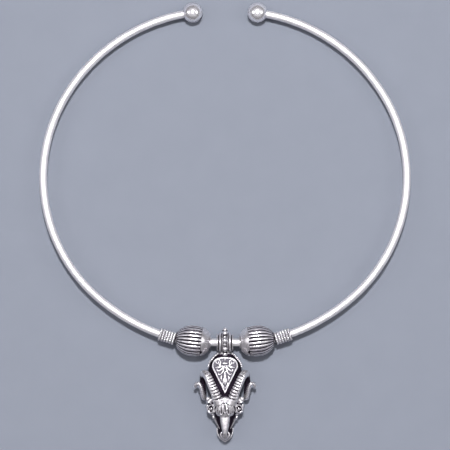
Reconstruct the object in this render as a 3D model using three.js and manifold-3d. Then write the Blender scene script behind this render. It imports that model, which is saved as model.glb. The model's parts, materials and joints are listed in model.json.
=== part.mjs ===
// A silver torc: an open oval neck ring of round wire with ball terminals. At its front are two fluted beads,
// each with a collar of wound wire, and a ram's head pendant that swings on the bare wire between them.
// Millimetres, +Z up. The torc lies on its beads, its balls and the flat back of the pendant.
import * as THREE from "three";
import { mergeVertices } from "three/addons/utils/BufferGeometryUtils.js";
import Module from "manifold-3d";

const wasm = await Module();
wasm.setup();

// ---- Driving dimensions ----

// The wire's line from the front centre to one terminal: lengths and bends that follow on tangentially.
const WIRE_RADIUS = 1.5;
const WIRE_SIDES = 10;
const WIRE_STEPS = 76;
const WIRE_LINE = [
  { length: 5.2 }, // half of the bare front, which carries the bail
  { radius: 20, degrees: 6 }, // bend inside the inner end of the bead
  { length: 10.4 }, // straight through the bead
  { radius: 12, degrees: 9.8 }, // bend between the bead and the collar
  { radius: 74, degrees: 25.5 }, // front quarter of the oval
  { radius: 60, degrees: 78.7 }, // side of the oval
  { radius: 66, degrees: 52.4 }, // back of the oval
];
const FIT_GAP = 0.05; // between two pieces that touch
const BORE_RADIUS = WIRE_RADIUS + 0.3; // of what is threaded on the wire, which bends a little inside it

const BALL_RADIUS = 3.78;
const BALL_SOCKET_DEPTH = 2;

const BEAD_PLACE = 12; // distance along the wire from the front centre
const BEAD_HALF_LENGTH = 6.65;
const BEAD_RADIUS = 5.8;
const BEAD_OVAL = { radius: 5.9, halfLength: 7.1 }; // its crown is flattened to the bead's radius
const BEAD_RIBS = 24;
const BEAD_FLUTE_DEPTH = 0.6;
const BEAD_CAP_EDGE = -3.1; // the smooth cap covers the inner end up to here
const BEAD_CAP_STEP = 0.2;
const BEAD_RING = { radius: 2.2, thickness: 0.55 };

const COLLAR_PLACE = 22.1;
const COLLAR_TURNS = 6;
const COLLAR_PITCH = 1.04;
const COLLAR_RADIUS = 2.45;
const COLLAR_GROOVE_RADIUS = 1.95;

const BAIL_BORE_RADIUS = 1.7;
const BAIL_BAND_RADIUS = 3.85;
const BAIL_BEADS = { radius: 0.95, ringRadius: 4.6, firstDegrees: -70, stepDegrees: 40, count: 7 };

// The pendant is measured from the swing axis (y = 0, towards -Y) and from its flat back (z = 0).
const PLAQUE = { halfWidth: 4.9, shoulderY: -9.25, topY: -5.45, tipY: -19.35, seatZ: 5.2, topZ: 8.2 };
const PLAQUE_RIM = { width: 0.55, height: 0.45 };
const MUZZLE_TIP_Y = -38.2;

const SWING_AXIS_HEIGHT = BEAD_RADIUS + 0.01;

// ---- Solids ----

// A closed mesh as a manifold-3d solid.
function solidOf(geometry) {
  const bare = geometry.index ? geometry.toNonIndexed() : geometry.clone();
  bare.deleteAttribute("normal");
  bare.deleteAttribute("uv");
  const merged = mergeVertices(bare, 1e-4);
  return new wasm.Manifold(
    new wasm.Mesh({
      numProp: 3,
      vertProperties: merged.attributes.position.array,
      triVerts: new Uint32Array(merged.index.array),
    }),
  );
}

function geometryOf(solid) {
  const mesh = solid.getMesh();
  const geometry = new THREE.BufferGeometry()
    .setAttribute("position", new THREE.BufferAttribute(mesh.vertProperties, 3))
    .setIndex(new THREE.BufferAttribute(mesh.triVerts, 1));
  geometry.computeVertexNormals();
  return geometry;
}

const joined = (geometries) => geometries.map(solidOf).reduce((sum, next) => sum.add(next));

const bothSides = (make) => [-1, 1].flatMap((side) => make(side));

// A unit sphere scaled to an ellipsoid, turned about Z and then about X, and moved to its centre.
function ellipsoid({ size, at, turn = 0, pitch = 0, facets = [8, 6] }) {
  return new THREE.SphereGeometry(1, ...facets)
    .scale(...size)
    .rotateZ(turn)
    .rotateX(pitch)
    .translate(...at);
}

// A closed skin over rings of points that all hold the same number of points.
function skin(rings) {
  const around = rings[0].length;
  const first = new THREE.Vector3();
  const last = new THREE.Vector3();
  rings[0].forEach((p) => first.addScaledVector(p, 1 / around));
  rings.at(-1).forEach((p) => last.addScaledVector(p, 1 / around));
  const index = [];
  const firstAt = rings.length * around;
  for (let i = 0; i < around; i++) {
    const next = (i + 1) % around;
    index.push(firstAt, next, i);
    for (let ring = 0; ring < rings.length - 1; ring++) {
      const a = ring * around;
      const b = a + around;
      index.push(a + i, a + next, b + next, a + i, b + next, b + i);
    }
    const end = (rings.length - 1) * around;
    index.push(firstAt + 1, end + i, end + next);
  }
  const geometry = new THREE.BufferGeometry().setFromPoints([...rings.flat(), first, last]);
  return geometry.setIndex(index);
}

// ---- Neck ring ----

// The wire's centre line, measured in millimetres either way from the front centre.
class WireLine extends THREE.Curve {
  constructor(pieces) {
    super();
    let [from, x, y, heading] = [0, 0, 0, 0];
    this.pieces = pieces.map(({ length, radius, degrees }) => {
      const turn = THREE.MathUtils.degToRad(degrees ?? 0);
      const piece = { from, x, y, heading, radius, length: length ?? radius * turn };
      ({ x, y, heading } = this.inside(piece, piece.length));
      from += piece.length;
      return piece;
    });
    this.halfLength = from;
  }

  inside({ x, y, heading, radius }, run) {
    if (!radius) return { x: x + run * Math.cos(heading), y: y + run * Math.sin(heading), heading };
    const end = heading + run / radius;
    return {
      x: x + radius * (Math.sin(end) - Math.sin(heading)),
      y: y - radius * (Math.cos(end) - Math.cos(heading)),
      heading: end,
    };
  }

  at(distance) {
    const piece = this.pieces.findLast((p) => p.from <= distance) ?? this.pieces[0];
    return this.inside(piece, distance - piece.from);
  }

  getPoint(t, target = new THREE.Vector3()) {
    const reach = this.halfLength - BALL_SOCKET_DEPTH - FIT_GAP;
    const distance = (2 * t - 1) * reach;
    const { x, y } = this.at(Math.abs(distance));
    return target.set(Math.sign(distance) * x, y, 0);
  }
}

const wireLine = new WireLine(WIRE_LINE);

function wireGeometry() {
  const section = new THREE.Shape().absarc(0, 0, WIRE_RADIUS, Math.PI / 2, 2.5 * Math.PI);
  return new THREE.ExtrudeGeometry(section, {
    extrudePath: wireLine,
    steps: WIRE_STEPS,
    curveSegments: WIRE_SIDES / 2, // an arc takes two sides for each
  });
}

const profile = (points) => points.map(([radius, along]) => new THREE.Vector2(radius, along));

// A ball with a blind socket for the wire's end, on +Y.
function ballGeometry() {
  const rings = 8;
  const mouth = Math.asin(BORE_RADIUS / BALL_RADIUS);
  const points = [
    [0, -BALL_SOCKET_DEPTH],
    [BORE_RADIUS, -BALL_SOCKET_DEPTH],
  ];
  for (let i = 0; i <= rings; i++) {
    const angle = mouth + ((Math.PI - mouth) * i) / rings;
    points.push([BALL_RADIUS * Math.sin(angle), -BALL_RADIUS * Math.cos(angle)]);
  }
  points.at(-1)[0] = 0;
  return new THREE.LatheGeometry(profile(points), 16);
}

function beadRadiusAt(y) {
  const { radius, halfLength } = BEAD_OVAL;
  return Math.min(BEAD_RADIUS, radius * Math.sqrt(1 - (y / halfLength) ** 2));
}

// A bead along Y: ribbed from its outer end (+Y) to the edge of a smooth cap, which ends in a small ring.
function beadGeometry() {
  const ringEnd = BEAD_RING.thickness - BEAD_HALF_LENGTH;
  const onBead = (y, raise = 0) => [beadRadiusAt(y) + raise, y];
  const points = [
    [BORE_RADIUS, BEAD_HALF_LENGTH],
    [BORE_RADIUS, -BEAD_HALF_LENGTH],
    [BEAD_RING.radius, -BEAD_HALF_LENGTH],
    [BEAD_RING.radius, ringEnd],
    onBead(ringEnd, BEAD_CAP_STEP),
    onBead(-5.3, BEAD_CAP_STEP),
    onBead(BEAD_CAP_EDGE, BEAD_CAP_STEP),
    ...[BEAD_CAP_EDGE + 0.05, -1.5, 1.5, 4.4, BEAD_HALF_LENGTH].map((y) => onBead(y)),
    [BORE_RADIUS, BEAD_HALF_LENGTH],
  ];
  const geometry = new THREE.LatheGeometry(profile(points), 2 * BEAD_RIBS);
  const position = geometry.attributes.position;
  for (let i = 0; i < position.count; i++) {
    const [x, y, z] = [position.getX(i), position.getY(i), position.getZ(i)];
    const radius = Math.hypot(x, z);
    const step = Math.round((Math.atan2(x, z) / Math.PI) * BEAD_RIBS);
    if (y < BEAD_CAP_EDGE + 0.01 || radius < BORE_RADIUS + 0.1 || step % 2 === 0) continue;
    const kept = 1 - BEAD_FLUTE_DEPTH / BEAD_RADIUS;
    position.setXYZ(i, x * kept, y, z * kept);
  }
  return geometry;
}

// The turns of a collar of wound wire, along Y.
function collarGeometry() {
  const half = (COLLAR_TURNS * COLLAR_PITCH) / 2;
  const points = [
    [BORE_RADIUS, half],
    [BORE_RADIUS, -half],
  ];
  for (let turn = 0; turn < COLLAR_TURNS; turn++) {
    const start = turn * COLLAR_PITCH - half;
    points.push([COLLAR_GROOVE_RADIUS, start], [COLLAR_RADIUS, start + COLLAR_PITCH / 2]);
  }
  points.push([COLLAR_GROOVE_RADIUS, half], [BORE_RADIUS, half]);
  return new THREE.LatheGeometry(profile(points), 16);
}

// ---- Pendant ----

// The barrel of the bail, along X about the swing axis, with a row of round beads about its waist.
function bailGeometry() {
  const side = [
    [BAIL_BORE_RADIUS, 3.08],
    [3.1, 3.08],
    [3.1, 2.65],
    [2.8, 2.5],
    [3.55, 2.1],
    [3.7, 1.6],
    [3.3, 1.1],
    [BAIL_BAND_RADIUS, 0.9],
  ];
  const mirrored = side.map(([radius, along]) => [radius, -along]);
  const points = [...mirrored, ...side.reverse(), mirrored[0]];
  const barrel = solidOf(new THREE.LatheGeometry(profile(points), 18).rotateZ(-Math.PI / 2));
  const row = Array.from({ length: BAIL_BEADS.count }, (_, i) => {
    const angle = THREE.MathUtils.degToRad(BAIL_BEADS.firstDegrees + i * BAIL_BEADS.stepDegrees);
    const [y, z] = [BAIL_BEADS.ringRadius * Math.sin(angle), BAIL_BEADS.ringRadius * Math.cos(angle)];
    return new THREE.SphereGeometry(BAIL_BEADS.radius, 8, 5).translate(0, y, z);
  });
  return geometryOf(barrel.add(joined(row))).translate(0, 0, SWING_AXIS_HEIGHT);
}

// The plaque's outline, grown by a margin: a rounded head over two straight sides that meet in a tip.
function shieldOutline(margin) {
  const { halfWidth, shoulderY, topY, tipY } = PLAQUE;
  const [width, rise] = [halfWidth + margin, topY - shoulderY + margin];
  const squareness = 2 / 2.6;
  const outline = new THREE.Shape().moveTo(0, tipY - 2 * margin);
  const steps = 14;
  for (let i = 0; i <= steps; i++) {
    const angle = (Math.PI * i) / steps;
    const across = Math.sign(Math.cos(angle)) * Math.abs(Math.cos(angle)) ** squareness;
    outline.lineTo(width * across, shoulderY + rise * Math.sin(angle) ** squareness);
  }
  return outline;
}

const slab = (outline, low, high) =>
  new THREE.ExtrudeGeometry(outline, { depth: high - low, bevelEnabled: false }).translate(0, 0, low);

// The wedge-shaped plaque with its rim, a palmette of leaves over a long drop, and two scrolls.
function plaqueGeometry() {
  const { seatZ, topZ } = PLAQUE;
  const floor = solidOf(slab(shieldOutline(0), seatZ, topZ));
  const rim = solidOf(slab(shieldOutline(0), topZ - 0.5, topZ + PLAQUE_RIM.height)).subtract(
    solidOf(slab(shieldOutline(-PLAQUE_RIM.width), topZ - 1, topZ + 1)),
  );
  const drop = ellipsoid({ size: [0.95, 2.1, 0.9], at: [0, -14.6, topZ] });
  const crown = ellipsoid({ size: [1.3, 0.55, 0.6], at: [0, -8.2, topZ] });
  const leaves = bothSides((side) =>
    [
      { reach: 1.5, y: -12.4, lean: 0.35, length: 1.5 },
      { reach: 1.9, y: -10.6, lean: 0.8, length: 1.6 },
    ].map(({ reach, y, lean, length }) =>
      ellipsoid({ size: [0.45, length, 0.6], at: [side * reach, y, topZ], turn: side * lean }),
    ),
  );
  const scrolls = bothSides((side) =>
    new THREE.TorusGeometry(0.95, 0.32, 5, 10).translate(side * 2.7, -8, topZ),
  );
  return geometryOf(floor.add(rim).add(joined([drop, crown, ...leaves, ...scrolls])));
}

// Cross sections of the neck, skull and muzzle: ellipses of half width w from the back up to top, at each y.
const HEAD_SECTIONS = [
  { y: -3.3, w: 2.4, top: 5.2 },
  { y: -5.2, w: 3.9, top: 5.6 },
  { y: -7, w: 5.4, top: 5.9 },
  { y: -9.2, w: 6.2, top: 6 },
  { y: -13, w: 6.2, top: 6.2 },
  { y: -17.5, w: 5.8, top: 7.4 },
  { y: -21, w: 6.3, top: 9 },
  { y: -24, w: 6.7, top: 9.4 },
  { y: -26, w: 6.1, top: 9.2 },
  { y: -27.8, w: 4.7, top: 8.9 },
  { y: -30.5, w: 3.7, top: 8.4 },
  { y: -33, w: 3.1, top: 7.6 },
  { y: -35.6, w: 2.3, top: 6.6 },
  { y: -37, w: 1.3, top: 5.6 },
];
const HEAD_SINK = 1.2; // how far the ellipses reach below the flat back that cuts them

function skullGeometry() {
  const around = 16;
  return skin(
    HEAD_SECTIONS.map(({ y, w, top }) =>
      Array.from({ length: around }, (_, i) => {
        const angle = (2 * Math.PI * i) / around;
        const half = (top + HEAD_SINK) / 2;
        return new THREE.Vector3(w * Math.cos(angle), y, half - HEAD_SINK + half * Math.sin(angle));
      }),
    ),
  );
}

// One horn's line: from the forehead back beside the plaque, down, forward by the cheek, and out to its tip.
const HORN_LINE = [
  [2.1, -23, 8.6],
  [4.7, -16.7, 9.5],
  [6.7, -12.6, 8.8],
  [7.6, -11.8, 6.8],
  [8.3, -13.5, 4.2],
  [8.4, -17, 2.9],
  [7.9, -20.5, 3.2],
  [8, -21, 4.7],
  [8.5, -19.2, 6],
  [9.1, -16.9, 6.9],
  [9.9, -15.5, 7.2],
  [10.9, -15.8, 6.9],
  [11.3, -17.2, 6.2],
];
const HORN_ROOT_RADIUS = 2;
const HORN_TIP_RADIUS = 0.55;
const HORN_RIDGES = 20;
const HORN_GROOVE_SHARE = 0.82;

function hornGeometry(side) {
  const line = new THREE.CatmullRomCurve3(HORN_LINE.map(([x, y, z]) => new THREE.Vector3(side * x, y, z)));
  const [steps, sides] = [2 * HORN_RIDGES, 8];
  const frames = line.computeFrenetFrames(steps);
  const rings = Array.from({ length: steps + 1 }, (_, step) => {
    const radius = THREE.MathUtils.lerp(HORN_ROOT_RADIUS, HORN_TIP_RADIUS, (step / steps) ** 0.85);
    const ridged = radius * (step % 2 ? 1 : HORN_GROOVE_SHARE);
    const centre = line.getPointAt(step / steps);
    return Array.from({ length: sides }, (_, i) => {
      const angle = (2 * Math.PI * i) / sides;
      return centre
        .clone()
        .addScaledVector(frames.normals[step], ridged * Math.cos(angle))
        .addScaledVector(frames.binormals[step], ridged * Math.sin(angle));
    });
  });
  return skin(rings);
}

// The fleece on the brow: locks that hang from an arch towards the muzzle.
function fleeceGeometries() {
  const locks = 8;
  return Array.from({ length: locks }, (_, i) => {
    const across = (2 * i) / (locks - 1) - 1;
    const fan = 0.55 * across;
    return ellipsoid({
      size: [0.62, 1.75, 0.75],
      at: [4.6 * across, -25.6 + 0.9 * across ** 2, 9.3 - 1.9 * across ** 2],
      turn: fan,
      facets: [6, 5],
    });
  });
}

function faceGeometries() {
  const nose = ellipsoid({ size: [1.35, 1.7, 1.1], at: [0, -35.2, 6.6] });
  const lowerLip = ellipsoid({ size: [3.1, 5, 2.6], at: [0, -33.2, 2.7], facets: [12, 8] });
  const eyes = bothSides((side) =>
    ellipsoid({ size: [1.5, 2, 1.7], at: [side * 5.1, -25.4, 6.6], turn: side * 0.5 }),
  );
  const ears = bothSides((side) =>
    ellipsoid({ size: [1.9, 1.1, 1.1], at: [side * 5.4, -22.1, 7.2], turn: side * -0.4, facets: [7, 5] }),
  );
  return [nose, lowerLip, ...eyes, ...ears];
}

// The ram's head and neck, cut flat at the back, and cut away about the bail and under the plaque.
function ramGeometry() {
  const form = joined([
    skullGeometry(),
    ...bothSides((side) => hornGeometry(side)),
    ...fleeceGeometries(),
    ...faceGeometries(),
  ]);
  const aboveBack = solidOf(new THREE.BoxGeometry(60, 100, 40).translate(0, 0, 20));
  const aboutBail = solidOf(
    new THREE.CylinderGeometry(BAIL_BAND_RADIUS + FIT_GAP, BAIL_BAND_RADIUS + FIT_GAP, 20, 32)
      .rotateZ(Math.PI / 2)
      .translate(0, 0, SWING_AXIS_HEIGHT),
  );
  const plaqueSeat = solidOf(slab(shieldOutline(FIT_GAP), PLAQUE.seatZ - FIT_GAP, 30));
  return geometryOf(form.intersect(aboveBack).subtract(aboutBail).subtract(plaqueSeat));
}

// ---- Assembly ----

const polished = () => new THREE.MeshStandardMaterial({ color: 0xd9d8dc, roughness: 0.16, metalness: 1 });
const oxidised = () => new THREE.MeshStandardMaterial({ color: 0xb9b6bd, roughness: 0.28, metalness: 1 });

function piece(name, geometry, material) {
  const mesh = new THREE.Mesh(geometry, material);
  mesh.name = name;
  return mesh;
}

// Puts a piece made along Y on the wire, with its +Y end towards the terminal.
function threadedOn(mesh, distance, side) {
  const { x, y, heading } = wireLine.at(distance);
  mesh.position.set(side * x, y, 0);
  mesh.rotation.z = side * (heading - Math.PI / 2);
  return mesh;
}

// The ring's frame has its origin on the wire at the front centre. It leans back until its balls rest too.
function neckRing() {
  const ring = new THREE.Group();
  ring.add(piece("neck_ring_wire", wireGeometry(), polished()));
  for (const [hand, side] of [["left", -1], ["right", 1]]) {
    ring.add(
      threadedOn(piece(`ball_terminal_${hand}`, ballGeometry(), polished()), wireLine.halfLength, side),
      threadedOn(piece(`wound_collar_${hand}`, collarGeometry(), oxidised()), COLLAR_PLACE, side),
      threadedOn(piece(`fluted_bead_${hand}`, beadGeometry(), oxidised()), BEAD_PLACE, side),
    );
  }
  const reach = wireLine.at(wireLine.halfLength).y;
  ring.rotation.x = -Math.asin((SWING_AXIS_HEIGHT - BALL_RADIUS) / reach);
  return ring;
}

function pendant() {
  return new THREE.Group().add(
    piece("bail_barrel", bailGeometry(), oxidised()),
    piece("palmette_plaque", plaqueGeometry(), oxidised()),
    piece("ram_head", ramGeometry(), oxidised()),
  );
}

const ringDepth = wireLine.at(wireLine.halfLength).y + BALL_RADIUS;
const swingAxisY = (-MUZZLE_TIP_Y - ringDepth) / 2;

const ring = neckRing();
ring.position.set(0, swingAxisY, SWING_AXIS_HEIGHT);
const ramPendant = pendant();
ramPendant.position.set(0, swingAxisY, 0);

export default new THREE.Group().add(ring, ramPendant);
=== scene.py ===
"""The looks of the silver torc, in metres and in the frame of its solids.

Shapes are worked out in millimetres from the swing axis, with +X to the right, +Y towards the gap between
the balls and +Z up. The ring's frame has its origin on the wire, and the pendant's its flat back at z = 0.
"""

import math

import bmesh
import bpy
import numpy as np
import openvdb as vdb
from mathutils import Matrix, Vector
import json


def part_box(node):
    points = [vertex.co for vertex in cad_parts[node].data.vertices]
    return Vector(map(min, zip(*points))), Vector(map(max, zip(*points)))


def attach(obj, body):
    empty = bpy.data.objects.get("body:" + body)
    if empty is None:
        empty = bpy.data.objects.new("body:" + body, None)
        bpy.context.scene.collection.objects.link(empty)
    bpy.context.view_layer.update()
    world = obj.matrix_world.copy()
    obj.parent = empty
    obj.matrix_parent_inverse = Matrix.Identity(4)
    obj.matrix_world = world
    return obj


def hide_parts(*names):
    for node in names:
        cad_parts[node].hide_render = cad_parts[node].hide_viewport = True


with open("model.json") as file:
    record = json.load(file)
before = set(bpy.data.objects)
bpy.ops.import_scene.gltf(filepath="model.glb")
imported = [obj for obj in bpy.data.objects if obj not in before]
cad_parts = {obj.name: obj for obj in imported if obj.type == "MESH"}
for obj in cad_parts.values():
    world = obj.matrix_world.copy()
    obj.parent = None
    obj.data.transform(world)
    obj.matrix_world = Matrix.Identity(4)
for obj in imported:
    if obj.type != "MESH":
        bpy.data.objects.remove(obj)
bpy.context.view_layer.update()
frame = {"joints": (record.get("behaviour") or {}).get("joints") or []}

MM = 0.001

# ---- Sizes, in millimetres and degrees ----

# The wire's line from the front centre to one terminal, run by run: (length, bend radius, degrees).
WIRE_LINE = [
    (5.2, None, 0),
    (None, 20, 6),
    (10.4, None, 0),
    (None, 12, 9.8),
    (None, 74, 25.5),
    (None, 60, 78.7),
    (None, 66, 52.4),
]
WIRE_RADIUS = 1.45
WIRE_END = 2.05  # from the wire's end to the middle of its ball
WIRE_STATIONS = 760
WIRE_SIDES = 40
HAMMER_WAVES = 14
HAMMER_PACES = (0.15, 0.9)  # radians for each millimetre along the wire
HAMMER_COUNTS = (1, 4)  # about the wire, up to but not with the last
HAMMER_DEPTH = 0.0035

BORE_RADIUS = 1.62
BALL_RADIUS = 3.74
BALL_BORE_END = 2.0  # from the bore's end to the middle of the ball
BALL_BEVEL = 0.15
BALL_STATIONS = 60
BALL_SIDES = 96

BEAD_PLACE = 12  # along the wire from its front centre
BEAD_HALF_LENGTH = 6.65
BEAD_RADIUS = 5.79
BEAD_OVAL = (5.9, 7.1)  # radius and half length, before its crown is flattened to the bead's radius
BEAD_RIBS = 24
BEAD_RIB_POINTS = 14
BEAD_RIB_DEPTH = 0.42  # as a share of its width
BEAD_RIB_ROUND = 0.97  # where 1 is a half circle
BEAD_RIB_UNEVEN = (0.88, 1.08)
BEAD_CAP_EDGE = -3.1
BEAD_CAP_STEP = 0.2
BEAD_TEAR_DEGREES = 50
BEAD_TEAR_DEPTH = 0.85
BEAD_TEAR_WIDTH = 0.16  # radians about the bead
BEAD_RING_WIDTH = 0.55
BEAD_RING_RADIUS = 1.98
BEAD_RING_BULGE = 0.24

COLLAR_PLACE = 22.1  # along the wire from its front centre
COLLAR_SIDES = 48
COLLAR_TURNS = 6
COLLAR_PITCH = 1.04
COLLAR_RADIUS = 2.45
COLLAR_GRAIN_RADIUS = 0.5
COLLAR_GRAINS = 17
COLLAR_REACH = 0.3  # how far the core reaches past its turns, towards the bead

BAIL_BORE_RADIUS = 1.65
BAIL_HALF_LENGTH = 3.08
BAIL_ROOM_RADIUS = 3.92  # the head is cut back to this, about the axle
BAIL_STATIONS = 70
BAIL_SIDES = 120
BAIL_GRAIN_DEGREES = range(-70, 171, 40)  # from +Z towards +Y
BAIL_GRAINS = [  # (radius, distance from the axle, degrees past each place)
    (0.95, 4.6, 0),
    (0.52, 4.1, 20),
]

PLAQUE_HALF_WIDTH = 4.9
PLAQUE_SHOULDER_Y = -9.25
PLAQUE_TOP_Y = -5.45
PLAQUE_TIP_Y = -19.35
PLAQUE_FLOOR_Z = 8.2
PLAQUE_SEAT_Z = 5.25
PLAQUE_SQUARENESS = 2.6
PLAQUE_RIM_RADIUS = 0.3
PLAQUE_GAP = 0.06
PLAQUE_VOXEL = 0.075
HEAD_VOXEL = 0.13

# ---- Randomness, drawn in the order of the assembly ----

rng = np.random.default_rng(15)

# ---- The frame's places ----

axle = Vector(frame["joints"][0]["pos_m"])
ball_low, ball_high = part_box("ball_terminal_right")
ball_place = (ball_low + ball_high) / 2
ring_tilt = math.atan2(ball_place.z - axle.z, ball_place.y - axle.y)
RING_FRAME = Matrix.Translation(axle) @ Matrix.Rotation(ring_tilt, 4, "X") @ Matrix.Scale(MM, 4)
PENDANT_FRAME = Matrix.Translation((axle.x, axle.y, 0)) @ Matrix.Scale(MM, 4)
AXLE_Z = axle.z / MM

# ---- Small mathematics ----

TINY = 1e-6
STEPS_A_POINT = 40


def circle(count):
    """The angles of points at even spacing about a circle."""
    return np.linspace(0, 2 * math.pi, count, endpoint=False)


def smoothstep(low, high, value):
    t = np.clip((value - low) / (high - low), 0, 1)
    return t * t * (3 - 2 * t)


def through(knots, values, at):
    """A smooth curve through values at knots, read at some places, as cubic pieces with central slopes."""
    knots, values, at = np.asarray(knots, float), np.asarray(values, float), np.asarray(at, float)
    slopes = np.gradient(values, knots)
    i = np.clip(np.searchsorted(knots, at) - 1, 0, len(knots) - 2)
    span = knots[i + 1] - knots[i]
    t = np.clip((at - knots[i]) / span, 0, 1)
    start = (1 + 2 * t) * (1 - t) ** 2 * values[i] + t * (1 - t) ** 2 * span * slopes[i]
    end = t**2 * (3 - 2 * t) * values[i + 1] + t**2 * (t - 1) * span * slopes[i + 1]
    return start + end


def line_through(points, count):
    """count points at even spacing on a smooth line through a few points."""
    points = np.asarray(points, float)
    knots = np.concatenate([[0], np.cumsum(np.linalg.norm(np.diff(points, axis=0), axis=1))])
    fine = np.linspace(0, knots[-1], STEPS_A_POINT * len(points))
    line = np.stack([through(knots, column, fine) for column in points.T], axis=1)
    run = np.concatenate([[0], np.cumsum(np.linalg.norm(np.diff(line, axis=0), axis=1))])
    even = np.linspace(0, run[-1], count)
    return np.stack([np.interp(even, run, column) for column in line.T], axis=1)


def wire_at(distance):
    """The wire's place (x, y) and heading at a distance along it from the front centre."""
    x = y = heading = 0.0
    for length, radius, degrees in WIRE_LINE:
        run = min(run_length(length, radius, degrees), distance)
        distance -= run
        if radius is None:
            x, y = x + run * math.cos(heading), y + run * math.sin(heading)
            continue
        end = heading + run / radius
        x += radius * (math.sin(end) - math.sin(heading))
        y -= radius * (math.cos(end) - math.cos(heading))
        heading = end
    return x, y, heading


def run_length(length, radius, degrees):
    """The length of one run of the wire's line."""
    return length or radius * math.radians(degrees)


WIRE_HALF_LENGTH = sum(run_length(*run) for run in WIRE_LINE)

# ---- Shapes: points, faces, and how dark each point is with tarnish and painted shade, from 0 to 1 ----


class Shape:
    def __init__(self, points, faces, tarnish_and_shade=0.0):
        self.points = np.asarray(points, float).reshape(-1, 3)
        self.faces = np.asarray(faces, int)
        self.tarnish_and_shade = np.broadcast_to(np.asarray(tarnish_and_shade, float).ravel(), (len(self.points),)).copy()

    def moved(self, matrix):
        m = np.array(matrix)
        return Shape(self.points @ m[:3, :3].T + m[:3, 3], self.faces, self.tarnish_and_shade)

    def flipped(self):
        """The mirror image across x = 0."""
        return Shape(self.points * (-1, 1, 1), self.faces[:, ::-1], self.tarnish_and_shade)


def joined(shapes):
    """One shape of several whose faces have the same number of corners."""
    starts = np.cumsum([0] + [len(s.points) for s in shapes[:-1]])
    return Shape(
        np.concatenate([s.points for s in shapes]),
        np.concatenate([s.faces + start for s, start in zip(shapes, starts)]),
        np.concatenate([s.tarnish_and_shade for s in shapes]),
    )


def sheet_faces(rows, columns, closed_rows):
    """The faces of a grid of points whose last column meets its first, and maybe its last row its first."""
    row = np.arange(rows if closed_rows else rows - 1)[:, None]
    column = np.arange(columns)[None, :]
    next_row, next_column = (row + 1) % rows, (column + 1) % columns
    corners = [row * columns + column, row * columns + next_column]
    corners += [next_row * columns + next_column, next_row * columns + column]
    return np.stack(np.broadcast_arrays(*corners), axis=-1).reshape(-1, 4)


def turned(radius, along, angles, tarnish_and_shade, closed=True):
    """A body turned about Y. radius and along hold one row for each station, going round the section."""
    radius, along, _ = np.broadcast_arrays(radius, along, angles)
    points = np.stack([radius * np.sin(angles), along, radius * np.cos(angles)], axis=-1)
    return Shape(points, sheet_faces(*radius.shape, closed)[:, ::-1], np.broadcast_to(tarnish_and_shade, radius.shape))


def round_grain():
    """A ball with a radius of 1."""
    ball = bmesh.new()
    bmesh.ops.create_icosphere(ball, subdivisions=3, radius=1)
    shape = Shape([v.co for v in ball.verts], [[v.index for v in f.verts] for f in ball.faces])
    ball.free()
    return shape


GRAIN = round_grain()


def grains(centres, outward, radii):
    """Round grains, each bright on its top and dark towards the ground that it sits on."""
    bright_from, dark_from = 0.45, -0.35  # along outward, as shares of the radius
    shapes = []
    for centre, out, radius in zip(centres, outward, radii):
        tarnish_and_shade = smoothstep(bright_from, dark_from, GRAIN.points @ out)
        shapes.append(Shape(centre + radius * GRAIN.points, GRAIN.faces, tarnish_and_shade))
    return joined(shapes)


# ---- Clay: free forms, modelled on a grid ----

FAR = 9.0
EVERYWHERE = (-20, -60, -5), (20, 20, 20)
MARGIN = 3  # grid steps about a form within which the clay is worked


def softly(a, b, blend):
    """The lesser of two distances, with a fillet of about that size where they meet."""
    if blend == 0:
        return np.minimum(a, b)
    near = np.maximum(blend - np.abs(a - b), 0) / blend
    return np.minimum(a, b) - near * near * blend / 4


def blurred(field, cells):
    """field, averaged twice over a box of 2 * cells + 1 grid points each way."""
    width = 2 * cells + 1
    for axis in (0, 1, 2) * 2:
        pad = [(cells + 1, cells) if a == axis else (0, 0) for a in range(3)]
        total = np.cumsum(np.pad(field, pad, mode="edge"), axis=axis, dtype=np.float64)
        ahead = np.take(total, range(width, total.shape[axis]), axis=axis)
        behind = np.take(total, range(0, total.shape[axis] - width), axis=axis)
        field = (ahead - behind) / width
    return field


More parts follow.
